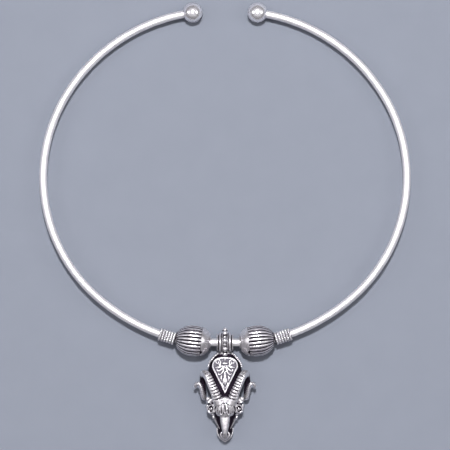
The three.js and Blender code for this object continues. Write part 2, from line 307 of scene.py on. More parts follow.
class Clay:
    """A block of clay, kept as the distance in millimetres from each point of a grid to the surface."""

    def __init__(self, low, high, voxel):
        self.low, self.voxel = np.array(low, float), voxel
        self.axes = [np.arange(lo, hi, voxel) for lo, hi in zip(low, high)]
        self.field = np.full([len(a) for a in self.axes], FAR, np.float32)

    def work(self, distance, low, high, blend, cut):
        """Adds or cuts away a form within a box, given its distance as a function of x, y and z."""
        part = tuple(slice(*np.searchsorted(a, ends)) for a, ends in zip(self.axes, zip(low, high)))
        x, y, z = np.meshgrid(*[a[p] for a, p in zip(self.axes, part)], indexing="ij", sparse=True)
        form, field = distance(x, y, z), self.field[part]
        self.field[part] = -softly(-field, form, blend) if cut else softly(field, form, blend)

    def stroke(self, points, radii, blend, cut=False):
        """A roll of clay along a line of points, or the groove it leaves, with its radii spread evenly."""
        points = np.asarray(points, float)
        radii = np.interp(np.linspace(0, 1, len(points)), np.linspace(0, 1, len(radii)), radii)
        reach = radii.max() + blend + MARGIN * self.voxel

        def distance(x, y, z):
            best = FAR
            for start, run, radius, growth in zip(points, np.diff(points, axis=0), radii, np.diff(radii)):
                from_start = [v - v0 for v, v0 in zip((x, y, z), start)]
                t = np.clip(sum(v * r for v, r in zip(from_start, run)) / (run @ run), 0, 1)
                off = sum((v - t * r) ** 2 for v, r in zip(from_start, run))
                best = np.minimum(best, np.sqrt(off) - (radius + t * growth))
            return best

        self.work(distance, points.min(0) - reach, points.max(0) + reach, blend, cut)

    def egg(self, centre, size, blend, turn=0.0, cut=False):
        """An ellipsoid, turned about Z by some degrees, or the hollow it leaves."""
        (cx, cy, cz), (a, b, c) = centre, size
        cos, sin = math.cos(math.radians(turn)), math.sin(math.radians(turn))
        reach = max(size) + blend + MARGIN * self.voxel

        def distance(x, y, z):
            u, v, w = (x - cx) * cos + (y - cy) * sin, (y - cy) * cos - (x - cx) * sin, z - cz
            near = np.sqrt((u / a) ** 2 + (v / b) ** 2 + (w / c) ** 2)
            steep = np.sqrt((u / a**2) ** 2 + (v / b**2) ** 2 + (w / c**2) ** 2)
            return near * (near - 1) / np.maximum(steep, TINY)

        self.work(distance, np.array(centre) - reach, np.array(centre) + reach, blend, cut)

    def loft(self, stations, low, squareness, blend=0.0):
        """A body along Y with rounded-square sections. A station is y, half width and height of the top."""
        ys, widths, tops = np.array(sorted(stations), float).T

        def distance(x, y, z):
            width, top = through(ys, widths, y), through(ys, tops, y)
            middle, half = (top + low) / 2, (top - low) / 2
            u, v = np.abs(x / width), np.abs((z - middle) / half)
            near = (u**squareness + v**squareness) ** (1 / squareness)
            side = (near - 1) * np.minimum(width, half)
            return np.maximum(side, np.maximum(ys[0] - y, y - ys[-1]))

        lows, highs = [a[0] for a in self.axes], [a[-1] + 1 for a in self.axes]
        self.work(distance, lows, highs, blend, False)

    def top_at(self, x, y):
        """The height of the surface over a place."""
        i, j = (round((v - lo) / self.voxel) for v, lo in zip((x, y), self.low))
        column = self.field[i, j]
        k = np.flatnonzero(column < 0)[-1]
        return self.low[2] + (k + column[k] / (column[k] - column[k + 1])) * self.voxel

    def laid(self, places, lift):
        """Places (x, y) as points on the surface, or above it by lift."""
        return np.array([(x, y, self.top_at(x, y) + lift) for x, y in places])

    def value_at(self, points, field):
        """A field on the grid, read at points."""
        last = np.array(field.shape) - 1.001  # just inside the last step of the grid
        where = np.clip((points - self.low) / self.voxel, 0, last)
        base = where.astype(int)
        t = where - base
        total = 0
        for corner in np.ndindex(2, 2, 2):
            weight = np.prod(np.where(corner, t, 1 - t), axis=1)
            total = total + weight * field[tuple((base + corner).T)]
        return total

    def fired(self, fine, broad, painted_shade_and_patina):
        """The finished shape, tarnished in its fine hollows and darkened with painted shade in its broad
        ones, which are looked for within fine and broad reach.

        Its patina and painted shade are a function of x, y, z and how far up they face. What stands proud is
        rubbed bright, but for what that function gives over 1.
        """
        fine_depth, broad_depth = 0.10, 0.30  # of hollows that are fully dark
        least_proud, proud_range = 0.03, 0.09
        most_bright = -0.4
        grid = vdb.FloatGrid(FAR)
        grid.copyFromArray(self.field)
        grid.transform = vdb.createLinearTransform(self.voxel)
        points, _, quads = grid.convertToPolygons(0.0, 0.0)
        points = points + self.low
        cells = [max(1, round(reach / self.voxel / 2)) for reach in (fine, broad)]
        near, far = (self.value_at(points, blurred(self.field, count)) for count in cells)
        # Tarnish from the fine hollows, and painted shade from the broad, deep hollows.
        dark = np.clip(-near / fine_depth, most_bright, 1) + np.clip(-far / broad_depth, most_bright, 1)
        slope = np.stack([self.value_at(points, part) for part in np.gradient(self.field)], axis=1)
        up = slope[:, 2] / np.maximum(np.linalg.norm(slope, axis=1), TINY)
        shade_and_patina = painted_shade_and_patina(*points.T, up)
        rubbed = np.clip((near - least_proud) / proud_range, 0, 1)
        dark = dark + shade_and_patina * (1 - rubbed) + np.maximum(shade_and_patina - 1, 0)
        return Shape(points, quads, np.clip(dark, 0, 1))


# ---- Silver ----

SILVER_WHITE = (0.93, 0.915, 0.94)
SILVER_GREY = (0.84, 0.82, 0.845)
VEIL = (0.86, 0.845, 0.87)  # what the faint clouds on bright silver leave of its colour
BRIGHT_BELOW, DARK_ABOVE = 0.12, 0.72
TARNISH_ROUGHNESS = 0.38
SCRATCH_STRENGTH = 0.25
SCRATCH_DEPTH = 0.012 * MM
NOISE_LOW, NOISE_HIGH = 0.3, 0.7  # the range that a noise texture mostly keeps to


def rgba(sockets):
    """The colour sockets of a Mix node, which also has unused ones for numbers and vectors."""
    return [socket for socket in sockets if socket.type == "RGBA"]


def silver(bright, tarnish_and_shade, roughness, metallic, wear=1.0):
    """Silver that is bright where it is rubbed, and dark where the shape's attribute of tarnish and painted
    shade is high.
    """
    material = bpy.data.materials.new("silver")
    material.use_nodes = True
    nodes, link = material.node_tree.nodes, material.node_tree.links.new
    shader = nodes["Principled BSDF"]
    shader.inputs["Metallic"].default_value = metallic

    def noise(scale, detail, low, high, stretch=(1, 1, 1)):
        """Cloudy noise, spread over low to high, with scale in patches for each metre."""
        place = nodes.new("ShaderNodeMapping")
        place.inputs["Scale"].default_value = stretch
        link(nodes["Texture Coordinate"].outputs["Object"], place.inputs["Vector"])
        cloud = nodes.new("ShaderNodeTexNoise")
        cloud.inputs["Scale"].default_value = scale
        cloud.inputs["Detail"].default_value = detail
        link(place.outputs["Vector"], cloud.inputs["Vector"])
        spread = nodes.new("ShaderNodeMapRange")
        spread.inputs["From Min"].default_value = NOISE_LOW
        spread.inputs["From Max"].default_value = NOISE_HIGH
        spread.inputs["To Min"].default_value = low
        spread.inputs["To Max"].default_value = high
        link(cloud.outputs["Fac"], spread.inputs["Value"])
        return spread.outputs["Result"]

    def reckon(operation, a, b):
        node = nodes.new("ShaderNodeMath")
        node.operation = operation
        for socket, value in zip(node.inputs, (a, b)):
            if isinstance(value, float):
                socket.default_value = value
            else:
                link(value, socket)
        return node.outputs["Value"]

    def mixed(factor, a, b):
        node = nodes.new("ShaderNodeMix")
        node.data_type = "RGBA"
        link(factor, node.inputs["Factor"])
        for socket, value in zip(rgba(node.inputs), (a, b)):
            if isinstance(value, tuple):
                socket.default_value = (*value, 1)
            else:
                link(value, socket)
        return rgba(node.outputs)[0]

    nodes.new("ShaderNodeTexCoord")
    # Reads the shape's tarnish and painted shade.
    tarnish_and_shade_input = nodes.new("ShaderNodeAttribute")
    tarnish_and_shade_input.attribute_name = "tarnish_and_shade"

    patchy = noise(700, 6, -0.22, 0.22)
    dark = reckon("ADD", tarnish_and_shade_input.outputs["Fac"], reckon("MULTIPLY", patchy, wear))
    ramp = nodes.new("ShaderNodeMapRange")
    ramp.interpolation_type = "SMOOTHSTEP"
    ramp.inputs["From Min"].default_value = BRIGHT_BELOW
    ramp.inputs["From Max"].default_value = DARK_ABOVE
    link(dark, ramp.inputs["Value"])
    dark = ramp.outputs["Result"]

    clouds = noise(180, 3, 0.0, 1.0)
    veiled = tuple(part * left for part, left in zip(bright, VEIL))
    link(mixed(dark, mixed(clouds, bright, veiled), tarnish_and_shade), shader.inputs["Base Color"])

    fine = noise(5200, 4, -0.05 * wear, 0.06 * wear)
    smears = noise(900, 5, -0.04, 0.07, stretch=(1, 1, 0.25))
    rough = reckon("ADD", reckon("ADD", fine, smears), roughness)
    link(reckon("ADD", rough, reckon("MULTIPLY", dark, TARNISH_ROUGHNESS)), shader.inputs["Roughness"])

    dents = noise(2600, 5, -0.5, 0.5)
    scratches = noise(9000, 2, -0.2, 0.2, stretch=(1, 0.15, 1))
    bump = nodes.new("ShaderNodeBump")
    bump.inputs["Strength"].default_value = SCRATCH_STRENGTH * wear
    bump.inputs["Distance"].default_value = SCRATCH_DEPTH
    link(reckon("ADD", dents, scratches), bump.inputs["Height"])
    link(bump.outputs["Normal"], shader.inputs["Normal"])
    return material


POLISHED, WORKED = "polished_silver", "worked_silver"
BURNISHED, CHASED = "burnished", "chased"
FINISHES = {
    POLISHED: silver(SILVER_WHITE, (0.14, 0.12, 0.15), roughness=0.44, metallic=0.7, wear=0.6),
    BURNISHED: silver(SILVER_WHITE, (0.10, 0.08, 0.11), roughness=0.2, metallic=0.78, wear=0.4),
    WORKED: silver(SILVER_GREY, (0.02, 0.012, 0.024), roughness=0.3, metallic=0.86),
    CHASED: silver(SILVER_GREY, (0.15, 0.14, 0.17), roughness=0.32, metallic=0.84, wear=0.5),
}

# ---- Putting pieces in place ----

SAME_POINT = 1e-7  # metres


def piece(name, shape, body, node, slot, place, finish=None):
    """Makes a shape a piece of the object. It rides on a body, and stands for a CAD node if one is named."""
    shape = shape.moved(place)
    mesh = bpy.data.meshes.new(name)
    mesh.from_pydata(shape.points, [], shape.faces)
    # The shape's tarnish and painted shade, kept as an attribute that darkens the silver.
    mesh.attributes.new("tarnish_and_shade", "FLOAT", "POINT").data.foreach_set("value", shape.tarnish_and_shade)
    work = bmesh.new()
    work.from_mesh(mesh)
    bmesh.ops.remove_doubles(work, verts=work.verts, dist=SAME_POINT)
    bmesh.ops.recalc_face_normals(work, faces=work.faces)
    work.to_mesh(mesh)
    work.free()
    mesh.shade_smooth()
    mesh.materials.append(FINISHES[finish or slot])
    made = bpy.data.objects.new(name, mesh)
    bpy.context.scene.collection.objects.link(made)
    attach(made, body)
    if node:
        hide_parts(node)
    return made


def threaded(distance, side):
    """The place on the wire of something made along Y, with its +Y end towards the terminal."""
    x, y, heading = wire_at(distance)
    turn = Matrix.Rotation(side * (heading - math.pi / 2), 4, "Z")
    return RING_FRAME @ Matrix.Translation((side * x, y, 0)) @ turn


# ---- The neck ring ----


def wire_shape():
    """The round wire, hammered very slightly uneven, and closed at both ends inside the balls."""
    reach = WIRE_HALF_LENGTH - WIRE_END
    stations = np.linspace(-reach, reach, WIRE_STATIONS)
    angles = circle(WIRE_SIDES)
    waves = []  # each its pace along the wire, its count about it, and its two phases
    for _ in range(HAMMER_WAVES):
        waves.append((rng.uniform(*HAMMER_PACES), rng.integers(*HAMMER_COUNTS), rng.uniform(0, 6.3, 2)))
    points = []
    for along in stations:
        x, y, heading = wire_at(abs(along))
        side = math.copysign(1, along)
        inward = np.array((-side * math.sin(heading), math.cos(heading), 0))
        hammered = sum(math.sin(k * along + p[0]) * np.cos(n * angles + p[1]) for k, n, p in waves)
        radius = WIRE_RADIUS + HAMMER_DEPTH * hammered
        if abs(along) > reach - TINY:
            radius = 0 * radius
        ring = np.cos(angles)[:, None] * inward + np.sin(angles)[:, None] * np.array((0, 0, 1))
        points.append(np.array((side * x, y, 0)) + radius[:, None] * ring)
    return Shape(points, sheet_faces(len(stations), len(angles), False))


def ball_shape():
    """A ball with a blind bore for the wire, darker about the bore's mouth, and with painted shade down its
    sides.
    """
    mouth_reach, side_shade = 0.35, 0.34
    side_shade_from, side_shade_full = 0.62, 0.15  # heights, as shares of the radius
    mouth = math.asin(BORE_RADIUS / BALL_RADIUS)
    turn = np.linspace(mouth, math.pi, BALL_STATIONS)
    bore_radius = [0, BORE_RADIUS, BORE_RADIUS]
    bore_along = [-BALL_BORE_END, -BALL_BORE_END, -BALL_RADIUS * math.cos(mouth) + BALL_BEVEL]
    radius = np.concatenate([bore_radius, BALL_RADIUS * np.sin(turn)])[:, None]
    along = np.concatenate([bore_along, -BALL_RADIUS * np.cos(turn)])[:, None]
    angles = circle(BALL_SIDES)
    dark_at_mouth = np.where(along < 0, smoothstep(BORE_RADIUS + mouth_reach, BORE_RADIUS, radius), 0)
    # Painted shade: darker towards the bottom of the ball.
    sides = side_shade * smoothstep(side_shade_from, side_shade_full, radius * np.cos(angles) / BALL_RADIUS)
    return turned(radius, along, angles, np.maximum(dark_at_mouth, sides), closed=False)


def collar_shapes():
    """The core of a collar, and the grains of the beaded wire that is wound on it."""
    half = COLLAR_TURNS * COLLAR_PITCH / 2
    core = COLLAR_RADIUS - COLLAR_GRAIN_RADIUS
    radius = np.array([BORE_RADIUS, BORE_RADIUS, core, core])
    along = np.array([half, -half - COLLAR_REACH, -half - COLLAR_REACH, half])
    tube = turned(radius[:, None], along[:, None], circle(COLLAR_SIDES), 1.0)
    centres, outward = [], []
    for turn in range(COLLAR_TURNS):
        start = rng.uniform(0, 2 * math.pi)
        for i in range(COLLAR_GRAINS):
            angle = start + 2 * math.pi * i / COLLAR_GRAINS
            out = np.array((math.sin(angle), 0, math.cos(angle)))
            outward.append(out)
            centres.append(core * out + (0, (turn + 0.5) * COLLAR_PITCH - half, 0))
    radii = COLLAR_GRAIN_RADIUS * rng.uniform(0.94, 1.0, len(centres))
    return tube, grains(centres, outward, radii)


def bead_skin(side, angles):
    """A bead's ribs and the cap over their inner ends, as grids of radius, distance along and tarnish.

    The cap's edge is torn back a little on the side towards the pendant.
    """
    oval_radius, oval_half = BEAD_OVAL
    edge, end = BEAD_CAP_EDGE, BEAD_HALF_LENGTH
    along = np.concatenate([
        np.linspace(BEAD_RING_WIDTH - end, edge - 0.1, 16),
        np.linspace(edge - 0.06, edge + 1.1, 24),
        np.linspace(edge + 1.2, end, 64),
    ])[:, None]
    oval = np.minimum(BEAD_RADIUS, oval_radius * np.sqrt(1 - (along / oval_half) ** 2))

    off_tear = (angles - side * math.radians(BEAD_TEAR_DEGREES) + math.pi) % (2 * math.pi) - math.pi
    tear = BEAD_TEAR_DEPTH * np.exp(-((off_tear / BEAD_TEAR_WIDTH) ** 2))
    past_cap = along - edge + tear
    cap = smoothstep(0.14, -0.02, past_cap)

    ribs = angles * BEAD_RIBS / (2 * math.pi)
    across = 2 * (ribs % 1) - 1
    uneven = rng.uniform(*BEAD_RIB_UNEVEN, BEAD_RIBS)[np.floor(ribs).astype(int)]
    rib_width = 2 * math.pi * oval / BEAD_RIBS
    depth = BEAD_RIB_DEPTH * rib_width * smoothstep(edge + 0.02, edge + 0.6, along)
    groove = 1 - np.sqrt(1 - BEAD_RIB_ROUND * across**2)
    radius = oval + BEAD_CAP_STEP * cap - depth * uneven * groove

    between_ribs = smoothstep(edge + 0.02, edge + 0.35, along) * smoothstep(0.38, 0.8, np.abs(across))
    under_cap = np.exp(-(((past_cap - 0.16) / 0.1) ** 2))
    bared = smoothstep(0.1, 0.3, past_cap) * smoothstep(edge + 0.3, edge, along)
    outer_end = smoothstep(end - 1.3, end, along)
    dark = between_ribs + 0.5 * under_cap + bared + 0.5 * outer_end
    return radius, np.broadcast_to(along, radius.shape), np.clip(dark, 0, 1)


def bead_shape(side):
    """A bead of long ribs that run together at its outer end, with a cap and a ring at its inner end."""
    end = BEAD_HALF_LENGTH
    angles = circle(BEAD_RIB_POINTS * BEAD_RIBS)
    skin = bead_skin(side, angles)
    bulge = np.linspace(0, math.pi, 13)
    ring_along = -end + BEAD_RING_WIDTH / 2 - BEAD_RING_WIDTH / 2 * np.cos(bulge)
    ring_radius = BEAD_RING_RADIUS + BEAD_RING_BULGE * np.sin(bulge) ** 0.7
    seam_along = BEAD_RING_WIDTH - end + 0.02
    plain = np.concatenate([  # (radius, distance along the wire, tarnish)
        [(BORE_RADIUS, end, 1.0), (BORE_RADIUS, -end, 1.0)],
        np.stack([ring_radius, ring_along, 0 * bulge], axis=1),
        [(2.0, seam_along, 1.0), (2.35, seam_along, 0.8)],
    ])
    plain = np.broadcast_to(plain[:, :, None], (*plain.shape, len(angles)))
    radius, along, dark = (np.concatenate([plain[:, i], rows]) for i, rows in enumerate(skin))
    return turned(radius, along, angles, dark)


# ---- The pendant ----

BAIL_SECTION = [  # (radius, distance from the middle)
    (3.04, 3.08),
    (3.1, 2.98),
    (3.1, 2.74),
    (3.0, 2.64),
    (2.7, 2.52),
    (2.85, 2.4),
    (3.3, 2.25),
    (3.6, 1.95),
    (3.66, 1.7),
    (3.56, 1.42),
    (3.26, 1.2),
    (3.3, 1.08),
    (3.72, 1.0),
    (3.82, 0.9),
    (3.72, 0.78),
    (3.6, 0.6),
    (3.58, 0),
]
BAIL_HILLS = [  # (distance from the middle, radius) of a line over its hills, below which it is dark
    (0, 3.75),
    (0.9, 3.85),
    (1.2, 3.7),
    (1.7, 3.7),
    (2.52, 3.35),
    (2.85, 3.15),
    (3.1, 3.12),
]


def bail_shapes():
    """The barrel of the bail, along X, and the grains about its waist."""
    dark_depth, bright_depth = 0.35, 0.25
    bore, half = BAIL_BORE_RADIUS, BAIL_HALF_LENGTH
    side = line_through(BAIL_SECTION, BAIL_STATIONS)
    section = np.concatenate([[(bore, half)], side, (side * (1, -1))[-2::-1], [(bore, -half)]])
    radius, along = section.T
    hill = through(*zip(*BAIL_HILLS), np.abs(along))
    dark = np.clip((hill - radius) / dark_depth - bright_depth, 0, 1)
    barrel = turned(radius[:, None], along[:, None], circle(BAIL_SIDES), dark[:, None])
    barrel = barrel.moved(Matrix.Rotation(-math.pi / 2, 4, "Z"))
    centres, outward, radii = [], [], []
    for degrees in BAIL_GRAIN_DEGREES:
        for grain_radius, ring, past in BAIL_GRAINS:
            angle = math.radians(degrees + past)
            out = np.array((0, math.sin(angle), math.cos(angle)))
            outward.append(out)
            centres.append(ring * out)
            radii.append(grain_radius)
    return barrel, grains(centres, outward, radii)


def shield_line(margin=0.0):
    """The plaque's outline: a rounded head over two straight sides that meet in a tip."""
    rise = PLAQUE_TOP_Y - PLAQUE_SHOULDER_Y + margin
    angles = np.linspace(0, math.pi, 60)
    across = np.sign(np.cos(angles)) * np.abs(np.cos(angles)) ** (2 / PLAQUE_SQUARENESS)
    head = np.stack([
        (PLAQUE_HALF_WIDTH + margin) * across,
        PLAQUE_SHOULDER_Y + rise * np.sin(angles) ** (2 / PLAQUE_SQUARENESS),
    ], axis=1)
    return np.concatenate([head, [(0, PLAQUE_TIP_Y - 2 * margin)]])


def inside_line(line, x, y):
    """The distance to a closed line in the plane, less than nothing inside it."""
    least_square, least_rise = 1e-9, 1e-12  # so that nothing is divided by 0
    best, crossings = np.full(np.broadcast(x, y).shape, FAR), 0
    for (ax, ay), (bx, by) in zip(line, np.roll(line, -1, axis=0)):
        run_x, run_y = bx - ax, by - ay
        share = ((x - ax) * run_x + (y - ay) * run_y) / max(run_x**2 + run_y**2, least_square)
        t = np.clip(share, 0, 1)
        best = np.minimum(best, np.hypot(x - ax - t * run_x, y - ay - t * run_y))
        crosses = (ay > y) != (by > y)
        crossings = crossings + (crosses & (x < ax + (y - ay) / (run_y + least_rise) * run_x))
    return np.where(crossings % 2, -best, best)


SCROLL_CENTRE = (2.75, -7.35)
SCROLL_RADIUS = 1.05
SCROLL_SHRINK = 0.11  # for each radian that it turns
SCROLL_DEGREES = (-60, 380)
SCROLL_POINTS = 20
LEAF_POINTS = 22
LEAF_BLEND = 0.08

# The palmette's leaves on the right, from the top down: points (x, y), radii along them, and lift.
LEAVES = [
    (
        [(0.75, -8.75), (1.1, -9.7), (1.8, -10.45), (2.75, -10.7), (3.0, -10.25)],
        (0.22, 0.34, 0.42, 0.36, 0.18),
        0.08,
    ),
    (
        [(0.5, -9.3), (0.75, -10.6), (1.25, -11.6), (2.1, -12.05), (2.4, -11.6)],
        (0.2, 0.3, 0.38, 0.32, 0.16),
        0.08,
    ),
    ([(1.2, -12.5), (1.5, -13.2), (1.3, -14.3)], (0.14, 0.38, 0.14), 0.05),
    ([(1.15, -15.0), (0.85, -16.2), (0.1, -17.2)], (0.14, 0.3, 0.14), 0.05),
    ([(0.7, -16.9), (0.4, -17.7), (0.03, -18.2)], (0.1, 0.2, 0.12), 0.05),
]
STEMS = [  # the stems above and below the palmette's heart: y of the top, middle and bottom, and radii
    ((-5.9, -6.6, -7.3), (0.34, 0.24, 0.12)),
    ((-8.5, -9.5, -10.5), (0.16, 0.36, 0.14)),
]
DROP = [  # (y, half width, half length, height) of the eggs that the palmette's long drop is made of
    (-11.9, 0.26, 1.3, 0.26),
    (-13.0, 0.5, 1.6, 0.3),
    (-14.4, 0.92, 1.5, 0.38),
]


def scroll_line():
    """The scroll under the plaque's shoulder on the right, from its outer end to its eye."""
    x, y = SCROLL_CENTRE
    turns = np.radians(np.linspace(*SCROLL_DEGREES, SCROLL_POINTS))
    radii = SCROLL_RADIUS - SCROLL_SHRINK * turns
    return [(x - r * math.cos(turn), y + r * math.sin(turn)) for r, turn in zip(radii, turns)]


def plaque_patina_and_shade(x, y, z, up):
    # An even patina, with painted shade where the surface faces less upwards.
    return 0.53 + 0.12 * smoothstep(0.7, 0.2, up)


def plaque_shape():
    """The plaque, a raised rim about a palmette of curled leaves, a long drop and small leaves below."""
    low, high = (-5.2, -19.7, 4.9), (5.2, -5.1, 9.2)
    clay = Clay(low, high, PLAQUE_VOXEL)
    floor = PLAQUE_FLOOR_Z
    outline = shield_line()

    def slab(x, y, z):
        return np.maximum(inside_line(outline, x, y), np.maximum(z - floor, PLAQUE_SEAT_Z - z))

    clay.work(slab, *EVERYWHERE, 0, False)
    rim = shield_line(-PLAQUE_RIM_RADIUS)
    rim = [(x, y, floor + 0.1) for x, y in np.concatenate([rim, rim[:1]])]
    clay.stroke(rim, (PLAQUE_RIM_RADIUS, PLAQUE_RIM_RADIUS), 0.1)

    def leaf(points, radii, lift):
        for side in (-1, 1):
            line = line_through([(side * x, y, floor + lift) for x, y in points], LEAF_POINTS)
            clay.stroke(line, radii, LEAF_BLEND)

    scroll = scroll_line()
    leaf(scroll[::-1], (0.2, 0.26, 0.32), 0.1)
    leaf([scroll[0], (1.55, -8.8), (2.5, -9.3), (3.5, -9.4)], (0.3, 0.42, 0.4, 0.18), 0.08)
    for points, radii, lift in LEAVES:
        leaf(points, radii, lift)
    clay.egg((0, -7.8, floor), (1.1, 0.45, 0.42), 0.06)
    for (top, middle, bottom), radii in STEMS:
        clay.stroke([(0, top, floor), (0, middle, floor + 0.1), (0, bottom, floor)], radii, LEAF_BLEND)
    for y, half_width, half_length, height in DROP:
        clay.egg((0, y, floor), (half_width, half_length, height), 0.03)
    return clay.fired(0.3, 0.9, plaque_patina_and_shade)


HORN_LINE = [
    (2.1, -23.0, 8.6),
    (4.7, -16.7, 9.5),
    (6.7, -12.6, 8.8),
    (7.6, -11.8, 6.8),
    (8.3, -13.5, 4.2),
    (8.4, -17.0, 2.9),
    (7.9, -20.5, 3.2),
    (8.0, -21.0, 4.7),
    (8.5, -19.2, 6.0),
    (9.1, -16.9, 6.9),
    (9.9, -15.5, 7.2),
    (10.9, -15.8, 6.9),
    (11.3, -17.2, 6.2),
]
HORN_ROOT_RADIUS = 2.15
HORN_TIP_RADIUS = 0.62
HORN_TAPER = 0.8
HORN_COIL_CENTRE = (6.0, -16.3, 6.2)
HORN_COIL_LEAN = 0.25  # how far the outer side follows the coil's centre in x, as a share
HORN_PITCHES = (1.2, 0.6)  # between the ridges, at the root and at the tip
HORN_RIDGE_DEPTH = 0.2  # as a share of the radius
HORN_SQUARENESS = 2.8
HORN_FLAT = 0.93  # the half width of its flats, as a share of the radius
HORN_STATIONS = 420
HORN_SIDES = 48


def horn_shape():
    """The right horn, a tapering coil with ridges across its upper face and a smooth band along its edge."""
    line = line_through(HORN_LINE, HORN_STATIONS)
    run = np.concatenate([[0], np.cumsum(np.linalg.norm(np.diff(line, axis=0), axis=1))])
    end = run[-1]
    share = run / end

    ahead = np.gradient(line, axis=0)
    ahead /= np.linalg.norm(ahead, axis=1)[:, None]
    away = line - HORN_COIL_CENTRE
    away[:, 0] *= HORN_COIL_LEAN
    away -= (away * ahead).sum(1)[:, None] * ahead
    away /= np.linalg.norm(away, axis=1)[:, None]
    side = np.cross(ahead, away)
    side *= np.sign(side[:, :1])

    radius = HORN_ROOT_RADIUS + (HORN_TIP_RADIUS - HORN_ROOT_RADIUS) * share**HORN_TAPER
    radius = radius * np.sqrt(np.clip((end - run) / HORN_TIP_RADIUS, 0, 1))
    root_pitch, tip_pitch = HORN_PITCHES
    ridges = np.cumsum(np.gradient(run) / (root_pitch + (tip_pitch - root_pitch) * share))
    ridge = 0.5 - 0.5 * np.cos(2 * math.pi * ridges)
    groove = (1 - ridge) ** 3
    between_ends = smoothstep(1.5, 2.2, run) * smoothstep(end - 0.6, end - 1.8, run)
    fainter_below = 1 - 0.55 * smoothstep(0.36, 0.46, share)
    ridged = between_ends * fainter_below

    angles = circle(HORN_SIDES)
    cos, sin = np.cos(angles), np.sin(angles)
    upper = 1 - smoothstep(0.35, 0.72, cos)
    depth = (HORN_RIDGE_DEPTH * radius * groove * ridged)[:, None] * upper
    squared = (np.abs(cos) ** HORN_SQUARENESS + np.abs(sin) ** HORN_SQUARENESS) ** (-1 / HORN_SQUARENESS)
    reach = (radius[:, None] - depth) * (HORN_FLAT * squared)
    outward = cos[None, :, None] * side[:, None] + sin[None, :, None] * away[:, None]
    points = line[:, None] + reach[..., None] * outward

    # Painted shade: darker on the coil's inner side, and along its low, descending run.
    shaded_inner_side = smoothstep(0.1, -0.9, sin)
    shaded_run = smoothstep(0.4, 0.46, share) * smoothstep(0.72, 0.62, share)
    dark = 0.8 * (groove * ridged)[:, None] * upper + 0.35 * shaded_inner_side + 0.5 * shaded_run[:, None]
    return Shape(points, sheet_faces(len(line), len(angles), False), np.clip(dark, 0, 1))


def horn_shapes():
    horn = horn_shape()
    return joined([horn, horn.flipped()])


NECK_EDGE = [
    (2.75, -4.35, 4.75),
    (4.05, -5.35, 5.0),
    (4.95, -6.45, 5.2),
    (5.85, -7.75, 5.3),
    (6.25, -9.1, 5.35),
]
NECK_GRAINS = 9
NECK_GRAIN_RADIUS = 0.42
NECK_GRAIN_UP = (0.25, 0.1, 0.96)


def neck_beading():
    """The beaded wire along each edge of the neck, between the plaque and the bail."""
    line = line_through(NECK_EDGE, NECK_GRAINS)
    radii = NECK_GRAIN_RADIUS * rng.uniform(0.92, 1.05, NECK_GRAINS)
    right = grains(line, [np.array(NECK_GRAIN_UP)] * NECK_GRAINS, radii)
    return joined([right, right.flipped()])


# Stations along the head: y, half width and height of the top.
NECK_AND_JAW = [
    (-2.9, 2.0, 4.7),
    (-3.6, 2.6, 4.9),
    (-5.2, 3.85, 5.2),
    (-7.0, 5.3, 5.5),
    (-9.2, 6.1, 5.7),
    (-13.0, 6.0, 6.1),
    (-17.5, 5.7, 6.8),
    (-21.0, 5.8, 7.2),
    (-24.0, 5.9, 6.9),
    (-26.2, 5.3, 6.3),
    (-28.0, 4.45, 5.6),
    (-30.5, 3.35, 4.9),
    (-33.0, 2.7, 4.3),
    (-35.0, 2.2, 3.9),
    (-36.3, 1.3, 3.5),
    (-36.8, 0.4, 3.3),
]
BROW = [
    (-18.6, 1.6, 7.3),
    (-20.0, 3.0, 8.4),
    (-22.0, 4.3, 9.1),
    (-24.3, 4.4, 9.25),
    (-26.2, 3.8, 9.0),
    (-27.6, 2.9, 8.5),
    (-28.8, 1.6, 7.4),
]
NOSE = [
    (-25.5, 2.2, 8.5),
    (-27.4, 2.2, 8.35),
    (-28.7, 1.98, 8.3),
    (-31.4, 1.55, 8.15),
    (-33.5, 1.12, 7.9),
    (-34.8, 0.98, 7.5),
    (-35.9, 0.85, 6.7),
    (-36.7, 0.3, 5.8),
]
LOWER_LIP = [
    (-30.0, 2.5, 2.2),
    (-32.0, 2.85, 2.7),
    (-33.6, 2.85, 2.85),
    (-35.2, 2.4, 2.8),
    (-36.6, 1.4, 2.7),
    (-37.4, 0.65, 2.6),
    (-37.85, 0.15, 2.4),
]

# The right side's lines, as points (x, y, z).
EYELID = [(6.75, -23.3, 6.5), (6.75, -24.4, 6.6), (6.35, -25.7, 6.7), (5.5, -26.8, 6.7), (4.3, -27.5, 6.6)]
CHEEK = [(4.4, -27.9, 5.5), (3.45, -29.9, 5.0), (2.65, -31.6, 4.6), (2.1, -32.6, 4.5)]
NOSTRIL_EDGE = [(1.0, -33.7, 6.6), (1.6, -34.4, 6.5), (1.6, -35.2, 6.3), (1.0, -36.1, 5.9), (0, -36.6, 5.6)]
NOSTRIL = [(1.2, -34.2, 7.1), (1.15, -34.8, 7.0), (1.3, -35.3, 6.7)]
MOUTH = [(2.3, -32.5, 4.0), (2.35, -34.0, 3.9), (1.9, -35.4, 3.7), (1.0, -36.6, 3.5), (0, -37.0, 3.4)]
LIP_EDGE = [(3.0, -32.4, 2.9), (2.95, -33.8, 3.0), (2.5, -35.3, 3.0), (1.4, -36.8, 2.9), (0, -37.65, 2.85)]

